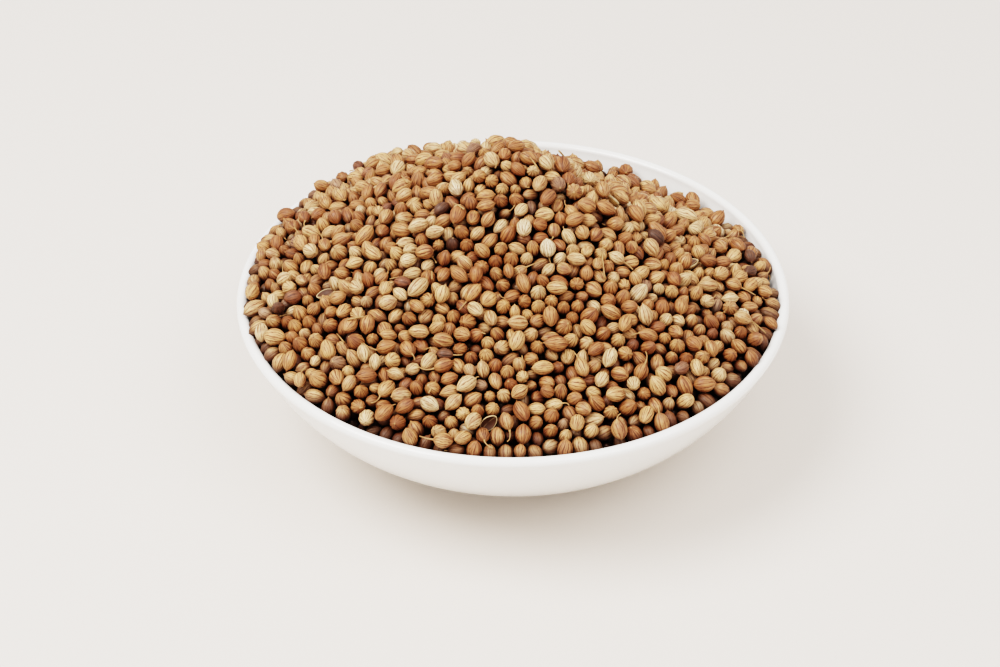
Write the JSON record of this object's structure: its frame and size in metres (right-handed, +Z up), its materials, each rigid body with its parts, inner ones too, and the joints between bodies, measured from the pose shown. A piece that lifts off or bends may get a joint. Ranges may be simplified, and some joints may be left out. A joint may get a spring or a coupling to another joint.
{
  "type": "bowl of coriander seeds",
  "caption": "Shallow round white porcelain bowl on a foot ring, heaped above its rim with dry ribbed coriander seeds; a filled spice bowl for a table or kitchen scene.",
  "frame": {"origin": "on the surface the bowl stands on, under the middle of its foot ring", "axes": "+Z up through the middle of the bowl, +Y away from the viewer of the picture, +X to the viewer's right"},
  "size_m": [0.16, 0.16, 0.0811],
  "materials": {
    "glazed_porcelain": "gloss",
    "dry_seed_husk": "matte"
  },
  "bodies": {
    "root": {"bowl": "glazed_porcelain", "seed_heap": "dry_seed_husk"}
  },
  "joints": []
}
